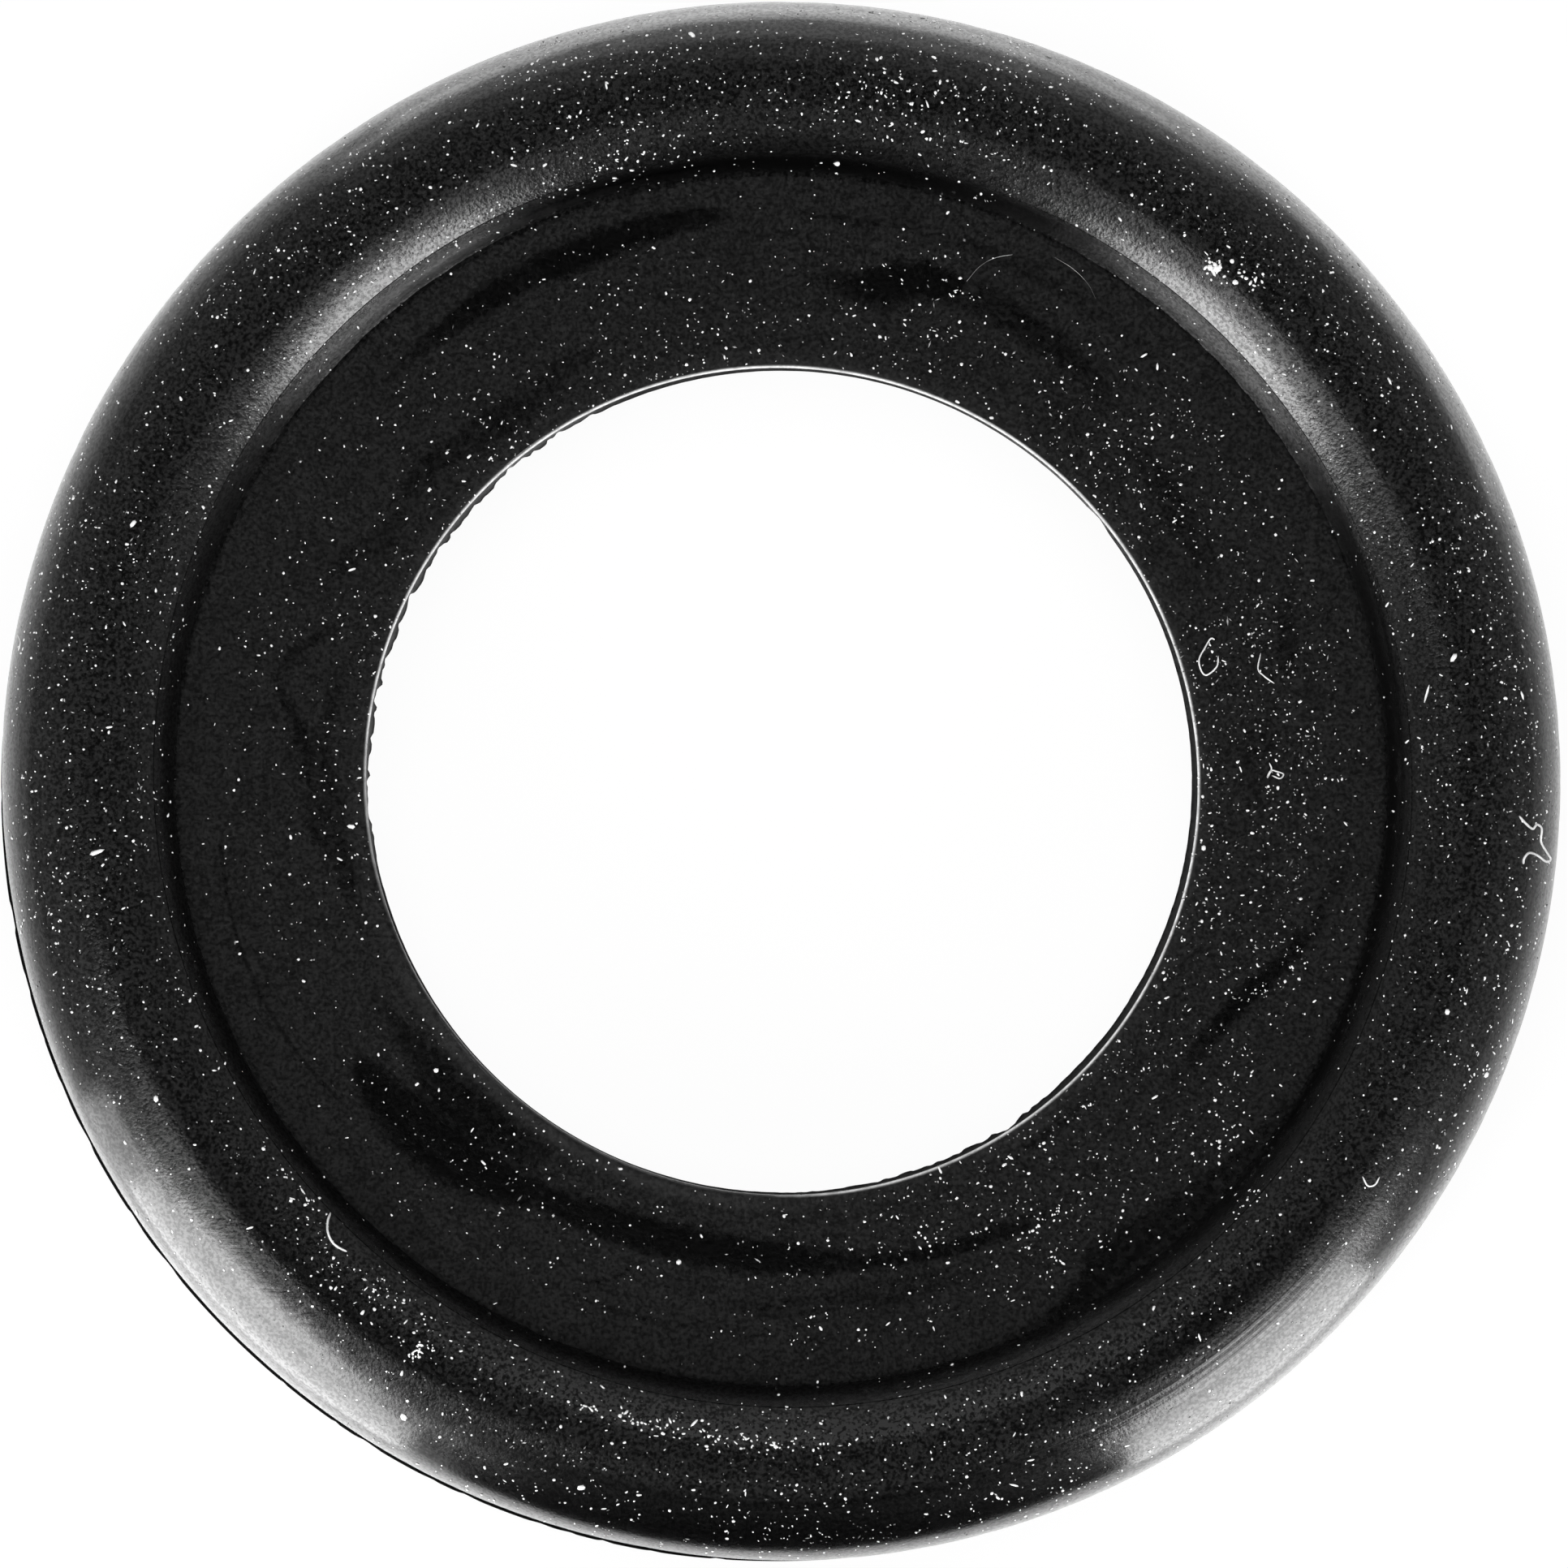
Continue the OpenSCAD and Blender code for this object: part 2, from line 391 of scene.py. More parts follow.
def stain_share(r, angle):
    """How deep the stains are, from 0 to 1. A stroke's radius, width and depth go evenly from
    place to place along it, and its depth falls off over its edges. Strokes are overlaid."""
    total = 0 * angle
    for stroke in STAINS:
        at, radius, width, depth = np.array(stroke).T
        middle = (at[0] + at[-1]) / 2
        degrees = middle + (np.degrees(angle) - middle + 180) % 360 - 180
        across = np.abs(r / MM - np.interp(degrees, at, radius)) / np.interp(degrees, at, width)
        inside = np.clip((1.4 - across) / 0.8, 0, 1)
        total = np.maximum(total, np.interp(degrees, at, depth) * inside)
    return total


def scuff_share(r, angle):
    """How strongly lathe lines from the mould show: all round the bead a little, and
    plainly on its outer flank at the lower right."""
    plain = bell(turned_from(angle, 300), 0, 24) * bell(r / MM, 10.20, 0.23)
    on_bead = np.clip((r - CREASE_R) / (0.05 * MM), 0, 1)
    return on_bead * np.clip(0.12 + 0.88 * plain, 0, 1)


def rub_share(r, angle):
    """How strongly short rubs show: on the outer flank at the lower left."""
    return bell(turned_from(angle, 228), 0, 12) * bell(r / MM, 10.12, 0.17)


def unlit_foot_share(r, angle):
    """Where the foot's wall is smooth and its gloss is taken off as painted shade: at the top and
    on the right, where it is unlit, apart from the place at the upper right that the lamps light."""
    degrees = np.degrees(angle) % 360
    turn = np.interp(degrees, [0, 22, 38, 52, 66, 104, 125, 138, 298, 322, 360],
                     [1, 0.8, 0, 0, 0.8, 1, 0.6, 0, 0, 1, 1])
    return turn * np.exp(-((r / MM - 8.69) / 0.13) ** 4)


def lip_highlight_and_talc_share(r, z, angle):
    """How much white is laid on: along the lip of the bore it is a painted highlight, left out
    at the lower left where the lip shows none; thinly on the web beside that part, and on the
    torn flash, it is fine talc."""
    degrees = np.degrees(angle) % 360
    # Painted highlight: a white line along the lip of the bore, left out at the lower left where
    # the lip shows none.
    lip = bell(r / MM, 5.860, 0.017) * (np.abs(z) > 0.6 * WEB_Z)
    lip_highlight_kept = np.interp(degrees, [0, 165, 180, 200, 268, 280, 360], [1, 1, 0.5, 0.05, 0.05, 1, 1])
    broken = 0.95 + 0.2 * wander(angle, 300, 61)
    beside = bell(r / MM, 5.98, 0.10) * np.interp(
        degrees, [0, 195, 210, 262, 272, 360], [0.003, 0.003, 0.010, 0.010, 0.003, 0.003])
    at_flash = (np.abs(z) < 2 * FLASH_HALF) & (r > BORE_R - 0.5 * BORE_FLASH) & (r < CROWN_R)
    on_flash = at_flash * np.interp(
        degrees, [0, 112, 122, 186, 196, 360], [0.02, 0.02, 0.14, 0.14, 0.02, 0.02])
    return np.clip(lip * lip_highlight_kept * broken + beside + on_flash, 0, 1)


def lay_out_for_bake(ring, section, around):
    """A UV map that unrolls the ring into two strips, one for each half turn. Across a strip
    is the angle, and up it is the distance travelled round the section."""
    steps = np.linalg.norm(np.diff(np.vstack([section, section[:1]]), axis=0), axis=1)
    travelled = np.concatenate([[0], np.cumsum(steps)]) / steps.sum()
    margin = 0.01
    half = around // 2
    i = np.arange(len(section))[:, None, None]
    j = np.arange(around)[None, :, None]
    corner_i = np.array([0, 1, 1, 0])
    corner_j = np.array([0, 0, 1, 1])
    strip = j // half + 0 * i
    across = (j % half + corner_j) / half + 0 * i
    up = travelled[i + corner_i] + 0 * j
    u = margin + (1 - 2 * margin) * across
    v = margin + (0.5 - 2 * margin) * up + 0.5 * strip
    layer = ring.data.uv_layers.new(name="OFBake")
    layer.data.foreach_set("uv", np.stack([u, v], 3).astype(np.float32).ravel())


# ---------------------------------------------------------------- dust and lint

upper_path = half_section(1)
over_top = upper_path[np.argmax(upper_path[:, 1] >= WEB_Z - 1e-9):]
over_top = over_top[over_top[:, 1] > 2 * FLASH_HALF]


def top_surface(x, y):
    """Height of the ring's upper face under the points, and its slope outwards."""
    angle = np.arctan2(y, x)
    r = np.hypot(x, y)
    flat_r = r - settle(r, angle)
    r_knots, z_knots = over_top[:, 0], over_top[:, 1]
    step = 0.01 * MM
    height = np.interp(flat_r, r_knots, z_knots)
    slope = (np.interp(flat_r + step, r_knots, z_knots)
             - np.interp(flat_r - step, r_knots, z_knots)) / (2 * step)
    return height, slope


def crumb_shapes(count, seed):
    """Small closed pebbles of 12 corners and 20 faces: an icosahedron with every corner
    pushed in or out at random."""
    gold = (1 + math.sqrt(5)) / 2
    base = np.array([[-1, gold, 0], [1, gold, 0], [-1, -gold, 0], [1, -gold, 0],
                     [0, -1, gold], [0, 1, gold], [0, -1, -gold], [0, 1, -gold],
                     [gold, 0, -1], [gold, 0, 1], [-gold, 0, -1], [-gold, 0, 1]])
    base = base / np.linalg.norm(base[0])
    faces = np.array([[0, 11, 5], [0, 5, 1], [0, 1, 7], [0, 7, 10], [0, 10, 11],
                      [1, 5, 9], [5, 11, 4], [11, 10, 2], [10, 7, 6], [7, 1, 8],
                      [3, 9, 4], [3, 4, 2], [3, 2, 6], [3, 6, 8], [3, 8, 9],
                      [4, 9, 5], [2, 4, 11], [6, 2, 10], [8, 6, 7], [9, 8, 1]])
    push = np.random.default_rng(seed).uniform(0.72, 1.28, (count, 12, 1))
    return base * push, faces


def speck_density(r, angle, on_right):
    """How thickly the talc lies, by radius and angle: it follows the radius, with a nearly
    bare band on the web beside the bead, and on the right half of the web there is more of
    it, by on_right times as much."""
    by_radius = np.interp(
        r / MM,
        [5.90, 6.2, 6.6, 7.1, 7.6, 7.95, 8.1, 8.5, 8.62, 8.84, 8.92, 9.25, 9.7, 10.2, 10.95],
        [0.52, 0.42, 0.34, 0.30, 0.26, 0.20, 0.05, 0.03, 0.27, 0.33, 0.52, 0.43, 0.41, 0.56, 1.15])
    on_web = np.clip((8.3 - r / MM) / 0.5, 0, 1)
    right = np.clip(np.cos(angle + math.radians(15)), 0, 1) ** 1.3
    lower_right = np.clip(np.cos(angle + math.radians(35)), 0, 1) ** 4
    near_bead = np.clip(1 - np.abs(r / MM - 8.3) / 0.4, 0, 1)
    kept = 1 - 0.75 * lamp_highlight_zone(angle) * np.clip((r / MM - 10.0) / 0.15, 0, 1)
    patchy = (1 + 0.5 * wander(angle, 40, 21) + 0.5 * wander(angle + r * 2000, 17, 22)
              + 0.4 * wander(angle - r * 5000, 61, 23))
    thick = by_radius * (1 + on_right * right * on_web) + 0.3 * lower_right * near_bead
    return thick * patchy * kept


def scatter(rng, wanted, on_right):
    """The wanted number of points over the ring's plan: even ones, of which each is kept or
    dropped by the talc's density there. on_right is as in speck_density."""
    tries = wanted * 14
    margin = 0.03 * MM
    densest = 2.0
    r = np.sqrt(rng.uniform((BORE_R + margin) ** 2, (RIM_R - margin) ** 2, tries))
    angle = rng.uniform(0, 2 * np.pi, tries)
    kept = rng.uniform(0, densest, tries) < speck_density(r, angle, on_right)
    return (r[kept] * np.cos(angle[kept]))[:wanted], (r[kept] * np.sin(angle[kept]))[:wanted]


# Places where the talc has gathered: the middle of each as radius in millimetres and angle in
# degrees, its spread outwards and round in millimetres, how many grains and how large
GATHERED = [
    (10.02, 79, 0.20, 0.55, 34, 1.35),
    (9.55, 82, 0.20, 0.70, 30, 1.1),
    (9.50, 49.7, 0.07, 0.14, 26, 1.5),
    (9.72, 47.4, 0.10, 0.20, 16, 1.2),
    (9.23, 256, 0.07, 0.55, 32, 1.2),
    (9.27, 263, 0.07, 0.60, 42, 1.25),
    (9.36, 270, 0.05, 0.60, 30, 1.2),
    (9.53, 237.3, 0.10, 0.18, 20, 1.1),
    (9.20, 232, 0.16, 0.70, 36, 1.1),
    (8.92, 222, 0.20, 0.60, 26, 1.1),
    (6.85, 285, 0.12, 0.70, 26, 1.0),
    (7.23, 302, 0.09, 0.28, 30, 1.0),
    (8.07, 320.5, 0.13, 0.40, 30, 1.0),
    (8.85, 318.0, 0.06, 0.40, 18, 1.0),
    (9.00, 105, 0.12, 0.45, 30, 1.1),
    (8.95, 118, 0.12, 0.55, 28, 1.0),
]


def gathered(rng):
    """Grains in their heaps: offsets from each middle fall off as a bell."""
    x, y, size = [], [], []
    for radius, at, outward, round_way, count, large in GATHERED:
        r = radius * MM + rng.normal(0, outward * MM, count)
        angle = math.radians(at) + rng.normal(0, round_way / radius, count)
        x.append(r * np.cos(angle))
        y.append(r * np.sin(angle))
        size.append(np.full(count, large))
    return np.concatenate(x), np.concatenate(y), np.concatenate(size)


def pebble_shapes(count, seed):
    """Plain closed grains of 6 corners and 8 faces, for the finest dust."""
    base = np.array([[1, 0, 0], [-1, 0, 0], [0, 1, 0], [0, -1, 0], [0, 0, 1], [0, 0, -1.0]])
    faces = np.array([[0, 2, 4], [2, 1, 4], [1, 3, 4], [3, 0, 4],
                      [2, 0, 5], [1, 2, 5], [3, 1, 5], [0, 3, 5]])
    return base * np.random.default_rng(seed).uniform(0.8, 1.2, (count, 6, 1)), faces


def lay_grains(name, material, x, y, radius, shapes, faces, rng, side=1):
    """Grains on the upper (side 1) or under (side -1) face. Each is stretched, turned about
    the surface's normal and let a little into the rubber. Some are rods, two to three times
    as long, and more of them are somewhat long: rods is the share of the first, and longish
    the share of both. A grain's middle is raised by a share of its radius."""
    rods = 0.07
    longish = 0.35
    flatness = 0.55
    raised = 0.2
    count = len(x)
    height, slope = top_surface(x, y)
    kind = rng.random(count)
    as_rod = rng.uniform(2.0, 3.0, count)
    as_longish = rng.uniform(1.3, 1.9, count)
    as_round = rng.uniform(1, 1.2, count)
    stretch = np.where(kind < rods, as_rod, np.where(kind < longish, as_longish, as_round))
    turn = rng.uniform(0, np.pi, count)
    local = shapes[rng.integers(0, len(shapes), count)]
    size = np.stack([radius * stretch, radius / stretch ** 0.35, flatness * radius], 1)
    sized = local * size[:, None, :]
    cos = np.cos(turn)[:, None]
    sin = np.sin(turn)[:, None]
    a = sized[:, :, 0] * cos - sized[:, :, 1] * sin
    b = sized[:, :, 0] * sin + sized[:, :, 1] * cos
    c = sized[:, :, 2] + raised * radius[:, None]
    out = np.stack([x, y, 0 * x], 1) / np.hypot(x, y)[:, None]
    lean = np.sqrt(1 + slope ** 2)
    radial = np.stack([out[:, 0], out[:, 1], slope], 1) / lean[:, None]
    normal = np.stack([-out[:, 0] * slope, -out[:, 1] * slope, 1 + 0 * slope], 1) / lean[:, None]
    round_way = np.cross(normal, radial)
    centre = np.stack([x, y, height], 1)
    points = (centre[:, None] + a[..., None] * radial[:, None]
              + b[..., None] * round_way[:, None] + c[..., None] * normal[:, None])
    corners = shapes.shape[1]
    all_faces = faces[None] + corners * np.arange(count)[:, None, None]
    if side < 0:
        points = points * [1, 1, -1]
        all_faces = all_faces[..., ::-1]
    mesh_piece(name, points.reshape(-1, 3), all_faces.reshape(-1, 3), material)


# The largest crumbs: radius in millimetres, angle in degrees, and their own radius in millimetres
CRUMBS = [
    (9.64, 10.4, 0.048), (10.35, 254.2, 0.046), (10.42, 239.3, 0.050), (10.77, 337.4, 0.045),
    (9.94, 340.9, 0.044), (8.75, 84.8, 0.042), (9.69, 185.9, 0.042), (10.60, 96.8, 0.040),
    (9.83, 158.3, 0.038), (9.88, 206.9, 0.038), (9.49, 49.6, 0.055), (9.44, 50.1, 0.045),
    (6.35, 220, 0.035), (6.94, 258, 0.038), (6.04, 351, 0.036), (6.10, 186, 0.036),
]


# The talc: how many specks, how much more of it lies on the right half of the web, the specks'
# usual radius in millimetres, and how much that varies, as the spread of its logarithm
GRAINS = (3550, 1.1, 0.0126, 0.33)
FINEST = (6700, 2.4, 0.0112, 0.25)
UNDERNEATH = (1600, 1.1, 0.0150, 0.35)
# The usual radius and its spread in the heaps
HEAPED = (0.0130, 0.30)
# No scattered grain is larger than this, in millimetres
LARGEST_GRAIN = 0.024


def make_talc(material, faint_material):
    """All the talc: grains and crumbs on the upper face, the finest grains among them, and a
    thinner dusting underneath, kept off the crown that the ring stands on."""
    rng = np.random.default_rng(31)
    shapes, faces = crumb_shapes(8, 32)
    wanted, on_right, usual, spread = GRAINS
    x, y = scatter(rng, wanted, on_right)
    heap_x, heap_y, heap_size = gathered(rng)
    radius = usual * MM * np.exp(rng.normal(0, spread, len(x)))
    radius = np.minimum(radius, LARGEST_GRAIN * MM)
    usual, spread = HEAPED
    heap_radius = usual * MM * heap_size * np.exp(rng.normal(0, spread, len(heap_x)))
    crumbs = np.array(CRUMBS)
    crumb_turn = np.radians(crumbs[:, 1])
    all_x = np.concatenate([x, heap_x, crumbs[:, 0] * MM * np.cos(crumb_turn)])
    all_y = np.concatenate([y, heap_y, crumbs[:, 0] * MM * np.sin(crumb_turn)])
    all_radius = np.concatenate([radius, heap_radius, crumbs[:, 2] * MM])
    lay_grains("talc_grains", material, all_x, all_y, all_radius, shapes, faces, rng)

    fine_shapes, fine_faces = pebble_shapes(6, 33)
    wanted, on_right, usual, spread = FINEST
    x, y = scatter(rng, wanted, on_right)
    radius = usual * MM * np.exp(rng.normal(0, spread, len(x)))
    lay_grains("talc_dust", faint_material, x, y, radius, fine_shapes, fine_faces, rng)

    wanted, on_right, usual, spread = UNDERNEATH
    x, y = scatter(rng, wanted, on_right)
    clear_of_crown = 0.45 * MM
    off_crown = np.abs(np.hypot(x, y) - CROWN_R) > clear_of_crown
    x, y = x[off_crown], y[off_crown]
    radius = usual * MM * np.exp(rng.normal(0, spread, len(x)))
    lay_grains("talc_grains_under", material, x, y, radius, shapes, faces, rng, side=-1)


# Lint: each fibre's thickness and the points along it, in millimetres
LINT = [
    (0.023, [(6.12, 2.00), (6.06, 2.01), (5.98, 1.88), (5.90, 1.72), (5.93, 1.56), (6.01, 1.50),
             (6.15, 1.62), (6.17, 1.77)]),
    (0.021, [(6.77, 1.81), (6.73, 1.59), (6.81, 1.49), (6.96, 1.38)]),
    (0.021, [(6.89, 0.26), (6.92, 0.17), (6.86, 0.05), (6.91, 0.15), (6.99, 0.14), (7.09, 0.10),
             (7.04, 0.04), (6.93, 0.08)]),
    (0.034, [(10.41, -0.49), (10.50, -0.59), (10.60, -0.67), (10.66, -0.61), (10.73, -0.67),
             (10.72, -0.85), (10.80, -1.00), (10.86, -1.10), (10.79, -1.13), (10.66, -1.04),
             (10.55, -1.01), (10.48, -1.09), (10.47, -1.17)]),
    (0.030, [(9.14, 1.36), (9.07, 1.11)]),
    (0.032, [(-6.35, -6.08), (-6.39, -6.20), (-6.39, -6.35), (-6.33, -6.49), (-6.24, -6.57),
             (-6.12, -6.63)]),
    (0.024, [(-5.21, -8.07), (-5.13, -8.02), (-5.04, -8.07)]),
    (0.024, [(8.20, -5.57), (8.27, -5.70), (8.37, -5.69), (8.44, -5.58)]),
    (0.022, [(-10.77, 2.07), (-10.73, 1.96), (-10.76, 1.84)]),
]

# A fine hair, of which two lengths show
HAIR = [
    (0.006, [(2.62, 7.05), (2.66, 7.10), (2.78, 7.24), (2.92, 7.34), (3.08, 7.40), (3.27, 7.43)]),
    (0.004, [(3.85, 7.40), (4.12, 7.23), (4.33, 7.02), (4.44, 6.81)]),
]


def smooth_path(knots, steps):
    """A Catmull-Rom curve through the knots, with steps points between each pair."""
    knots = np.array(knots)
    ends = np.vstack([2 * knots[0] - knots[1], knots, 2 * knots[-1] - knots[-2]])
    t = np.linspace(0, 1, steps, endpoint=False)[:, None]
    parts = []
    for k in range(len(knots) - 1):
        p0, p1, p2, p3 = ends[k:k + 4]
        parts.append(p1 + 0.5 * t * (p2 - p0 + t * (2 * p0 - 5 * p1 + 4 * p2 - p3
                                                     + t * (3 * p1 - p0 - 3 * p2 + p3))))
    return np.vstack(parts + [knots[-1:]])


def make_lint(name, material, fibres):
    """Each fibre is a hexagon carried along its curve, just over the rubber, with its ends
    drawn to points and closed."""
    sides = 6
    steps = 6
    raised = 0.45
    points, faces, start = [], [], 0
    for thickness, knots in fibres:
        path = smooth_path(knots, steps) * MM
        height, _ = top_surface(path[:, 0], path[:, 1])
        count = len(path)
        along = np.gradient(path, axis=0)
        along = along / np.linalg.norm(along, axis=1)[:, None]
        across = np.stack([-along[:, 1], along[:, 0]], 1)
        taper = np.clip(np.minimum(np.arange(count), np.arange(count)[::-1]) * 0.5 + 0.3, 0, 1)
        half = 0.5 * thickness * MM * taper
        lift = height + raised * thickness * MM
        turn = np.arange(sides) * 2 * np.pi / sides
        ring_x = path[:, None, 0] + across[:, None, 0] * half[:, None] * np.cos(turn)
        ring_y = path[:, None, 1] + across[:, None, 1] * half[:, None] * np.cos(turn)
        ring_z = lift[:, None] + half[:, None] * np.sin(turn)
        points.append(np.stack([ring_x, ring_y, ring_z], 2).reshape(-1, 3))
        i = np.arange(count - 1)[:, None]
        j = np.arange(sides)[None, :]
        k = (j + 1) % sides
        quads = np.stack([i * sides + j, (i + 1) * sides + j,
                          (i + 1) * sides + k, i * sides + k], 2).reshape(-1, 4)
        last = (count - 1) * sides
        caps = np.array([[0, 1, 2, 3], [0, 3, 4, 5],
                         [last + 3, last + 2, last + 1, last],
                         [last + 5, last + 4, last + 3, last]])
        faces.append(np.vstack([quads, caps]) + start)
        start += count * sides
    mesh_piece(name, np.vstack(points), np.vstack(faces), material)


# ---------------------------------------------------------------- shaders

class Value:
    """A number that varies over a surface. Sums on it add Math nodes to its shader."""

    def __init__(self, shader, socket):
        self.shader = shader
        self.socket = socket

    def maths(self, operation, *terms):
        """The result of a Math node on these terms, which are numbers or Values."""
        return self.shader.node("ShaderNodeMath", {"operation": operation}, dict(enumerate(terms)))

    def __abs__(self):
        return self.maths("ABSOLUTE", self)

    def __add__(self, other):
        return self.maths("ADD", self, other)

    def __radd__(self, other):
        return self.maths("ADD", other, self)

    def __sub__(self, other):
        return self.maths("SUBTRACT", self, other)

    def __rsub__(self, other):
        return self.maths("SUBTRACT", other, self)

    def __mul__(self, other):
        return self.maths("MULTIPLY", self, other)

    def __rmul__(self, other):
        return self.maths("MULTIPLY", other, self)

    def __truediv__(self, other):
        return self.maths("DIVIDE", self, other)

    def __pow__(self, other):
        return self.maths("POWER", self, other)

    def ramp(self, start, end, low=0.0, high=1.0):
        """Eases from low to high as this value goes from start to end, and holds beyond."""
        return self.shader.node(
            "ShaderNodeMapRange", {"interpolation_type": "SMOOTHSTEP"},
            {"Value": self, "From Min": start, "From Max": end, "To Min": low, "To Max": high})


class Shader:
    """A material and the nodes that make it."""

    def __init__(self, name):
        self.material = bpy.data.materials.new(name)
        self.material.use_nodes = True
        self.tree = self.material.node_tree
        self.tree.nodes.clear()

    def node(self, kind, settings=None, inputs=None, output=0):
        """Adds a node, sets its settings and then its sockets, and returns one output."""
        made = self.tree.nodes.new(kind)
        for key, setting in (settings or {}).items():
            setattr(made, key, setting)
        for key, given in (inputs or {}).items():
            if isinstance(given, Value):
                self.tree.links.new(given.socket, made.inputs[key])
            else:
                made.inputs[key].default_value = given
        return Value(self, made.outputs[output]) if made.outputs else None

    def place(self):
        """Position on the piece, in millimetres."""
        at = self.node("ShaderNodeTexCoord", output="Object")
        return self.node("ShaderNodeVectorMath", {"operation": "SCALE"}, {0: at, "Scale": 1 / MM})

    def split(self, vector):
        """The three numbers of a vector."""
        parts = self.node("ShaderNodeSeparateXYZ", inputs={0: vector}).socket.node
        return [Value(self, out) for out in parts.outputs]

    def join(self, x, y, z):
        """A vector from three numbers."""
        return self.node("ShaderNodeCombineXYZ", inputs={0: x, 1: y, 2: z})

    def attribute(self, name):
        """A number stored on the mesh's points."""
        return self.node("ShaderNodeAttribute", {"attribute_name": name}, output="Fac")

    def noise(self, vector, scale, detail=2.0, rough=0.5):
        """Cloudy noise from 0 to 1, about 0.5."""
        return self.node("ShaderNodeTexNoise", {"noise_dimensions": "3D"},
                         {"Vector": vector, "Scale": scale, "Detail": detail, "Roughness": rough})

    def grey(self, low_level, high_level, share):
        """A grey between two levels."""
        return self.node(
            "ShaderNodeMix", {"data_type": "RGBA"},
            {"Factor": share, 6: (*[low_level] * 3, 1), 7: (*[high_level] * 3, 1)}, output=2)

    def finish(self, surface):
        """Gives the material its surface, and returns it."""
        self.node("ShaderNodeOutputMaterial", inputs={"Surface": surface})
        return self.material


def rubber():
    """Black moulded rubber under a thin pale bloom. On the bead the bloom is raised into painted
    sheen, and on the foot's wall it is left out as painted shade, where the wall's gloss is also
    taken off on its unlit sides. The bloom is wiped away in ragged stains and along a struck arc,
    white painted along the lip stands in for its highlight, the face has a fine grain, and lathe
    lines run round the bead. Radii and places are in millimetres."""
    bare_grey = 0.0005
    bloom_and_sheen_grey = 0.0300
    talc_and_highlight_white = (0.92, 0.92, 0.92, 1)
    struck_x, struck_y, struck_r = -2.66, -0.65, 5.24
    foot_middle = 8.71
    relief_deep = 5.2 * MICRON
    coat_rough = 0.22
    s = Shader("black_rubber")
    place = s.place()
    x, y, _ = s.split(place)
    r = (x * x + y * y) ** 0.5
    grain = s.noise(place, 13, 2, 0.65)
    fine = s.noise(place, 19, 1, 0.6)
    mottle = s.noise(place, 8, 2, 0.6)
    cloud = s.noise(place, 2.2, 3, 0.65)
    bloom, stain, scuff, rub, unlit_foot, dust = [
        s.attribute(name) for name in ("bloom", "stain", "scuff", "rub", "unlit_foot", "dust")]

    wiped = (stain + (mottle - 0.5) * 1.3 * stain.ramp(0.0, 0.4)).ramp(0.08, 1.0)
    across = x - struck_x
    up = y - struck_y
    struck = abs((across * across + up * up) ** 0.5 - struck_r).ramp(0.015, 0.045, 0.45, 0)
    struck = struck * y.ramp(-4.9, -4.4) * y.ramp(-0.9, -0.6, 1, 0) * x.ramp(-0.2, 0, 1, 0)
    blotch = cloud.ramp(0.45, 0.70) * 0.22
    # Painted sheen and shade: on the bead the bloom is raised to stand in for the room's pale
    # reflection, and on the foot's wall it is none.
    bloom_and_sheen = bloom * (1 - wiped * 0.93) * (1 - blotch) * (1 - struck)
    bloom_and_sheen = bloom_and_sheen * grain.ramp(0.2, 0.8, 0.75, 1.25)
    tint = s.grey(bare_grey, bloom_and_sheen_grey, bloom_and_sheen * fine.ramp(0.32, 0.68, 0.03, 0.33))
    matte = bloom_and_sheen * r.ramp(8.50, 8.57, 1, 0)
    # Painted highlight: the white along the lip stands in for its highlight; on the flash and
    # beside the lip it is talc.
    lip_highlight_and_talc = dust * grain.ramp(0.3, 0.6, 0.75, 1.0)
    colour = s.node("ShaderNodeMix", {"data_type": "RGBA"},
                    {"Factor": lip_highlight_and_talc, 6: tint, 7: talc_and_highlight_white}, output=2)
    lathe = s.noise(s.join(x / r * 1.5, y / r * 1.5, r * 19), 1.0, 1, 0.6)
    strokes = s.noise(s.join(x * 3.5, y * 17, 0), 1.0, 1, 0.5)
    rough = (0.20 + 0.20 * matte + 0.10 * (grain - 0.5) + 0.05 * cloud + (lathe - 0.5) * scuff * 0.6
             + (strokes - 0.5) * rub * 0.4 + 0.4 * lip_highlight_and_talc - 0.10 * unlit_foot)
    calm = r.ramp(10.0, 10.2, 1.0, 0.6)
    relief = ((grain * 0.5 + fine) * abs(r - foot_middle).ramp(0.12, 0.20, 0.4, 1.0) * calm
              + lathe * scuff * 2.2 + strokes * rub * 1.8)
    normal = s.node("ShaderNodeBump", None,
                    {"Height": relief, "Distance": relief_deep, "Strength": 1.0})
    # Painted shade: the foot's wall loses its gloss on its unlit sides.
    gloss = ((0.62 + fine.ramp(0.36, 0.62, -0.52, 0.38) * calm)
             * (1 - scuff * lathe.ramp(0.46, 0.54)) * (1 - 0.9 * rub * strokes.ramp(0.42, 0.54))
             * (1 - 0.9 * lip_highlight_and_talc) * (1 - 0.9 * matte) * (1 - 0.95 * unlit_foot))
    return s.finish(s.node("ShaderNodeBsdfPrincipled", None, {
        "Base Color": colour, "Roughness": rough, "Normal": normal, "IOR": 1.5,
        "Coat Weight": gloss, "Coat Roughness": coat_rough, "Coat IOR": 1.5}))


def pale_crumbs(name, low_level, high_level):
    """Crumbs of talc or lint, some purer than others."""
    s = Shader(name)
    shade = s.noise(s.place(), 3.0, 1, 0.5)
    return s.finish(s.node("ShaderNodeBsdfPrincipled", None, {
        "Base Color": s.grey(low_level, high_level, shade.ramp(0.35, 0.65)),
        "Roughness": shade.ramp(0, 1, 0.8, 0.95), "Specular IOR Level": 0.2}))


# ---------------------------------------------------------------- studio

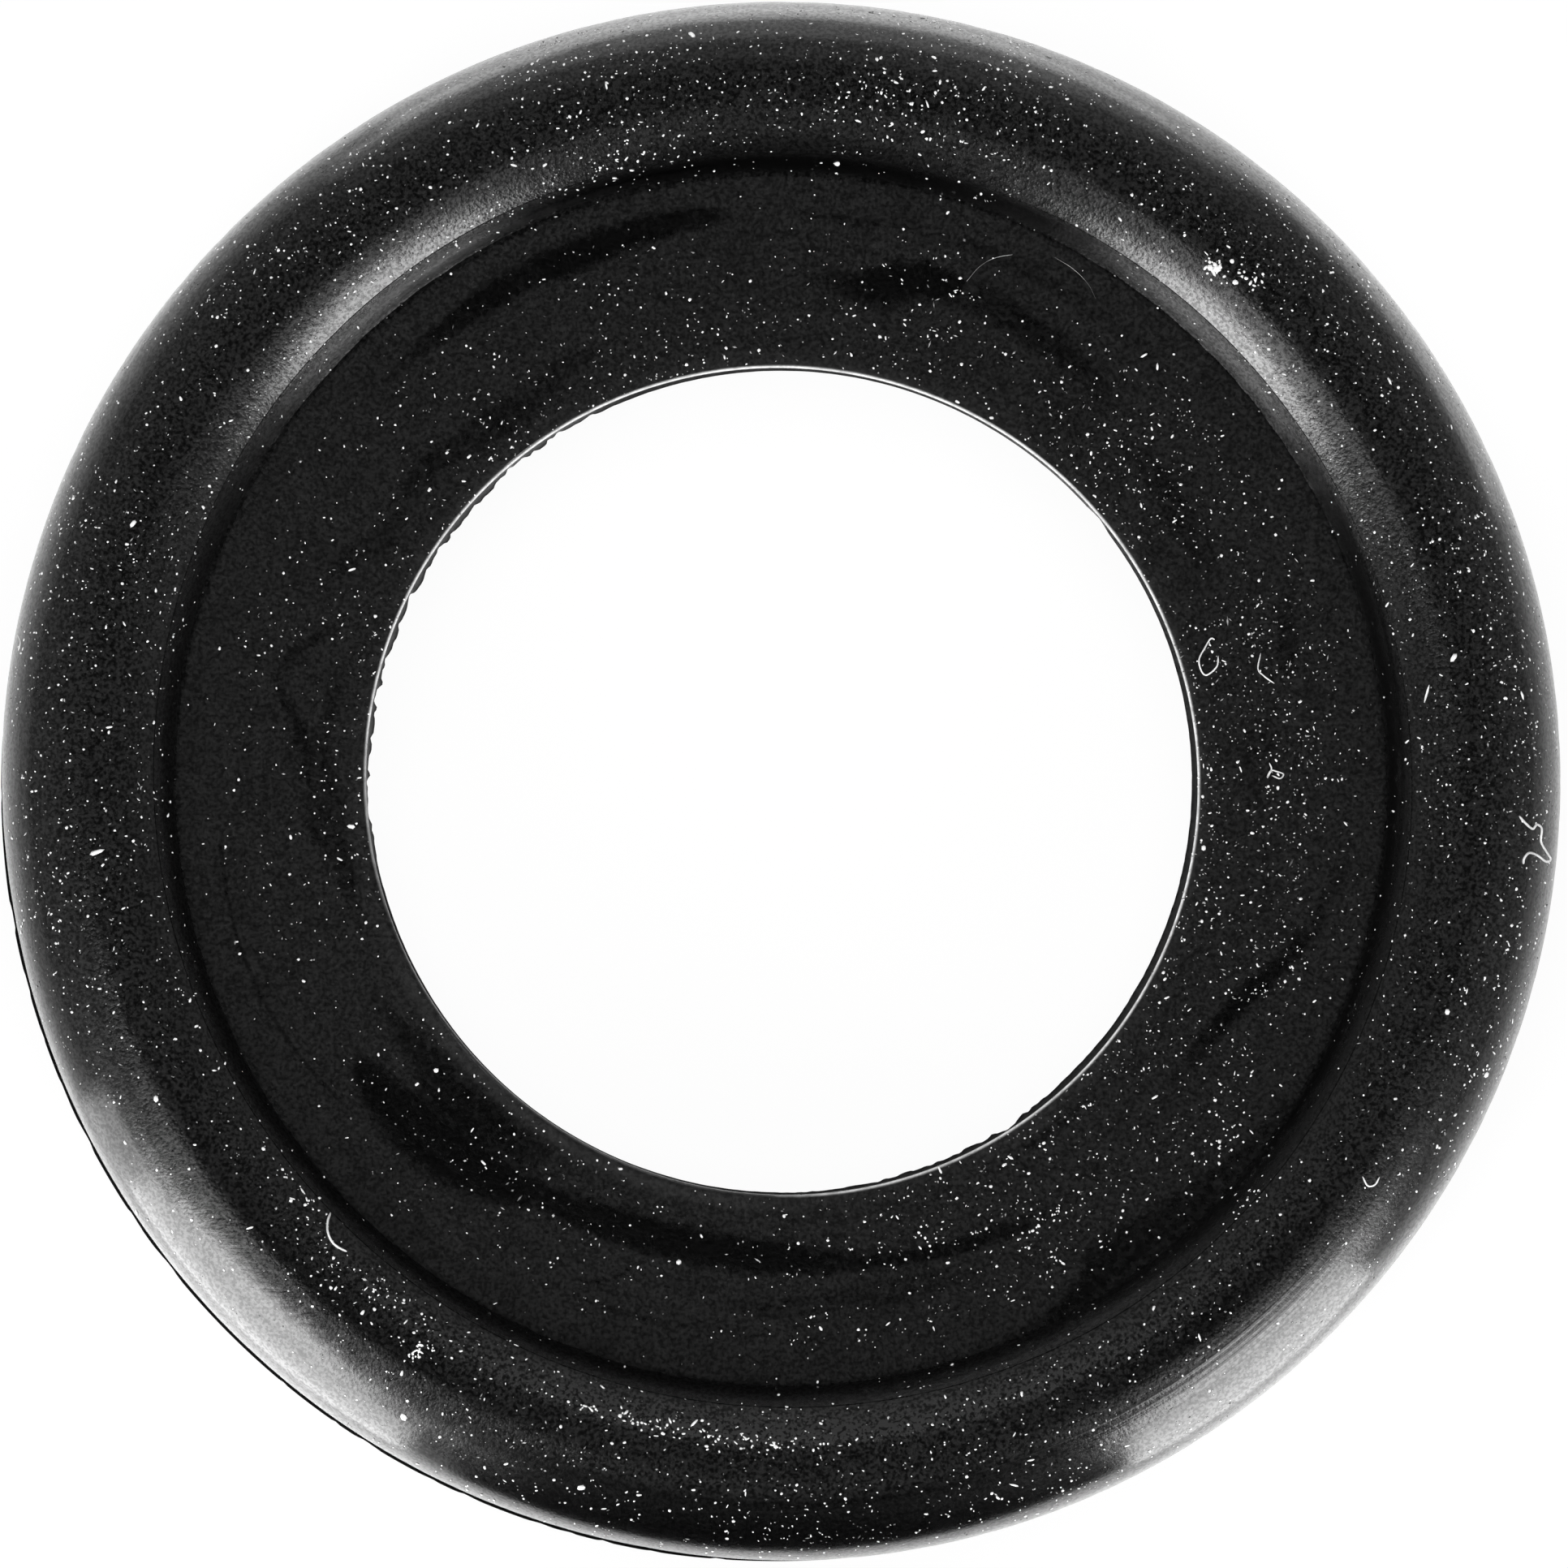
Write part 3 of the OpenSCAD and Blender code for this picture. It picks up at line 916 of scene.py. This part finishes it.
# What the ring sees of the room, low down and overhead, and the glow of its two soft lights
WALL_LEVEL = 0.24
CEILING_LEVEL = 0.012
BOX_A_LEVEL = 8.2
BOX_B_LEVEL = 6.9

# Soft boxes that the rubber mirrors: azimuth and elevation in degrees, width and height in
# metres, and radiance. Each side's three stand one above the other, dimmer as they go up.
BOX_DISTANCE = 0.25
SOFT_BOXES = {
    "box_lower_left": (225.3, 17.5, 0.090, 0.165, BOX_A_LEVEL),
    "box_lower_right": (309.5, 16.5, 0.092, 0.155, BOX_B_LEVEL),
    "box_left_upper": (225.3, 41, 0.052, 0.057, 0.68 * BOX_A_LEVEL),
    "box_left_top": (222.5, 58.5, 0.040, 0.102, 0.33 * BOX_A_LEVEL),
    "box_right_upper": (309.5, 41, 0.050, 0.066, 0.72 * BOX_B_LEVEL),
    "box_right_top": (307.5, 58, 0.038, 0.097, 0.20 * BOX_B_LEVEL),
}

# Cards that stand close to the ring: azimuth in degrees, then distance, width and height in
# millimetres, radiance, whether the rubber mirrors it, and whether it lights dull surfaces
CARDS = {
    "panel_lower_left": (226, 14, 7.1, 4.0, 0.78 * BOX_A_LEVEL, True, False),
    "panel_left_end": (208.3, 14, 1.8, 4.0, 0.36 * BOX_A_LEVEL, True, False),
    "panel_lower_right": (308.7, 14, 5.6, 4.0, 0.90 * BOX_B_LEVEL, True, False),
    "panel_right_foot": (308.7, 13.9, 5.6, 1.5, 0.72 * BOX_B_LEVEL, True, False),
    "glow_lower_left": (226, 14.2, 7.8, 4.0, 4.8, False, True),
    "glow_lower_right": (309.5, 14.2, 5.2, 4.0, 3.2, False, True),
    "panel_back": (90, 13, 18, 1.6, 2.5, True, True),
    "panel_back_right": (40, 13, 9, 1.6, 1.7, True, True),
    "panel_back_left": (140, 13, 9, 1.6, 0.9, True, True),
    "dim_back": (90, 14.5, 22, 7, 0.26, True, False),
    "low_back": (90, 14.3, 22, 3.7, 0.85, True, False),
    "black_flag": (270.75, 13.8, 13.6, 20, 0, True, False),
}


def floor_finish():
    """White paper: it shows as white, with a faint share of the light that falls on it, so
    that the washer's shadow is kept. In reflections its colour is a painted pool of light: near
    white by the washer, falling to grey further out."""
    s = Shader("white_paper")
    path = s.node("ShaderNodeLightPath", output="Is Camera Ray")
    x, y, _ = s.split(s.place())
    # Painted pool of light, seen only in reflections: near white by the washer, grey further out.
    painted_pool = s.grey(0.95, 0.43, ((x * x + y * y) ** 0.5).ramp(12, 21))
    around = s.node("ShaderNodeBsdfDiffuse", None, {"Color": painted_pool})
    paper = s.node("ShaderNodeBsdfDiffuse", None, {"Color": (0.92, 0.92, 0.92, 1)})
    shown = s.node("ShaderNodeEmission", None, {"Color": (1, 1, 1, 1), "Strength": 1.0})
    mostly = s.node("ShaderNodeMixShader", None, {0: 0.06, 1: shown, 2: paper})
    return s.finish(s.node("ShaderNodeMixShader", None, {0: path, 1: around, 2: mostly}))


def make_floor():
    half = 0.5
    corners = np.array([[-half, -half], [half, -half], [half, half], [-half, half]])
    mesh = bpy.data.meshes.new("floor")
    mesh.from_pydata([(cx, cy, FLOOR_Z) for cx, cy in corners], [], [(0, 1, 2, 3)])
    mesh.materials.append(floor_finish())
    floor = bpy.data.objects.new("floor", mesh)
    bpy.context.scene.collection.objects.link(floor)


def make_lamp(name, azimuth, elevation, distance, width, height, radiance, in_gloss):
    """A soft box that faces the ring from a direction given in degrees. in_gloss says whether
    the rubber mirrors it."""
    a = math.radians(azimuth)
    e = math.radians(elevation)
    lamp = bpy.data.lights.new(name, "AREA")
    lamp.shape = "RECTANGLE"
    lamp.size = width
    lamp.size_y = height
    lamp.energy = radiance * math.pi * width * height
    box = bpy.data.objects.new(name, lamp)
    box.location = (distance * math.cos(a) * math.cos(e), distance * math.sin(a) * math.cos(e),
                    distance * math.sin(e))
    box.rotation_mode = "QUATERNION"
    box.rotation_quaternion = box.location.to_track_quat("Z", "Y")
    box.visible_camera = False
    box.visible_glossy = in_gloss
    bpy.context.scene.collection.objects.link(box)


def make_card(name, azimuth, distance, width, height, radiance, in_gloss, on_floor):
    """A card that stands on the floor close to the ring and faces it. With a radiance it is a
    glowing panel, and with none it is black. It throws no shadow, and the camera sees past it.
    in_gloss says whether the rubber mirrors it, and on_floor whether it lights dull surfaces."""
    a = math.radians(azimuth)
    middle = np.array([math.cos(a), math.sin(a)]) * distance
    side = np.array([-math.sin(a), math.cos(a)]) * width / 2
    mesh = bpy.data.meshes.new(name)
    base, top = FLOOR_Z, FLOOR_Z + height
    mesh.from_pydata([(*(middle - side), base), (*(middle + side), base),
                      (*(middle + side), top), (*(middle - side), top)], [], [(0, 3, 2, 1)])
    s = Shader(name)
    mesh.materials.append(s.finish(s.node("ShaderNodeEmission", None, {"Strength": radiance})))
    card = bpy.data.objects.new(name, mesh)
    card.visible_camera = False
    card.visible_shadow = False
    card.visible_glossy = in_gloss
    card.visible_diffuse = on_floor
    bpy.context.scene.collection.objects.link(card)


def make_world():
    """The camera sees white all round. The ring sees a grey room, dim overhead and lighter
    towards its walls: its level eases down as the ray's upward share grows."""
    world = bpy.data.worlds.new("room")
    world.use_nodes = True
    tree = world.node_tree
    tree.nodes.clear()
    path = tree.nodes.new("ShaderNodeLightPath")
    way = tree.nodes.new("ShaderNodeTexCoord")
    parts = tree.nodes.new("ShaderNodeSeparateXYZ")
    room = tree.nodes.new("ShaderNodeMapRange")
    room.inputs["From Min"].default_value = 0.35
    room.inputs["From Max"].default_value = 0.95
    room.inputs["To Min"].default_value = WALL_LEVEL
    room.inputs["To Max"].default_value = CEILING_LEVEL
    seen = tree.nodes.new("ShaderNodeMapRange")
    seen.inputs["To Max"].default_value = 1.0
    light = tree.nodes.new("ShaderNodeBackground")
    out = tree.nodes.new("ShaderNodeOutputWorld")
    tree.links.new(way.outputs["Generated"], parts.inputs["Vector"])
    tree.links.new(parts.outputs["Z"], room.inputs["Value"])
    tree.links.new(room.outputs["Result"], seen.inputs["To Min"])
    tree.links.new(path.outputs["Is Camera Ray"], seen.inputs["Value"])
    tree.links.new(seen.outputs["Result"], light.inputs["Strength"])
    tree.links.new(light.outputs["Background"], out.inputs["Surface"])
    bpy.context.scene.world = world


def make_camera():
    """Straight above, framed so that the rim all but fills the picture."""
    frame_pixels = 1932
    rim_pixels = 960.0
    centre_right, centre_down = 3.8, 3.3
    scale = RIM_R / rim_pixels
    distance = 1.0
    camera = bpy.data.cameras.new("camera")
    camera.sensor_width = 36
    camera.lens = camera.sensor_width * distance / (frame_pixels * scale)
    camera.clip_start, camera.clip_end = 0.01, 10
    holder = bpy.data.objects.new("camera", camera)
    holder.location = (centre_right * scale, -centre_down * scale, distance)
    bpy.context.scene.collection.objects.link(holder)
    bpy.context.scene.camera = holder


make_camera()
make_ring(rubber())
thin = pale_crumbs("thin_talc", 0.12, 0.60)
make_talc(pale_crumbs("white_talc", 0.85, 0.98), thin)
make_lint("lint_fibres", pale_crumbs("white_lint", 0.55, 0.90), LINT)
make_lint("lint_hair", thin, HAIR)
make_floor()
make_world()
for box_name, (azimuth, elevation, *size_and_glow) in SOFT_BOXES.items():
    make_lamp(box_name, azimuth, elevation, BOX_DISTANCE, *size_and_glow, in_gloss=True)
make_lamp("overhead_fill", azimuth=90, elevation=80, distance=0.4, width=0.3, height=0.3,
          radiance=4.6, in_gloss=False)
for card_name, (azimuth, distance, width, height, *glow_and_uses) in CARDS.items():
    make_card(card_name, azimuth, distance * MM, width * MM, height * MM, *glow_and_uses)

view = bpy.context.scene.view_settings
view.view_transform = "Standard"
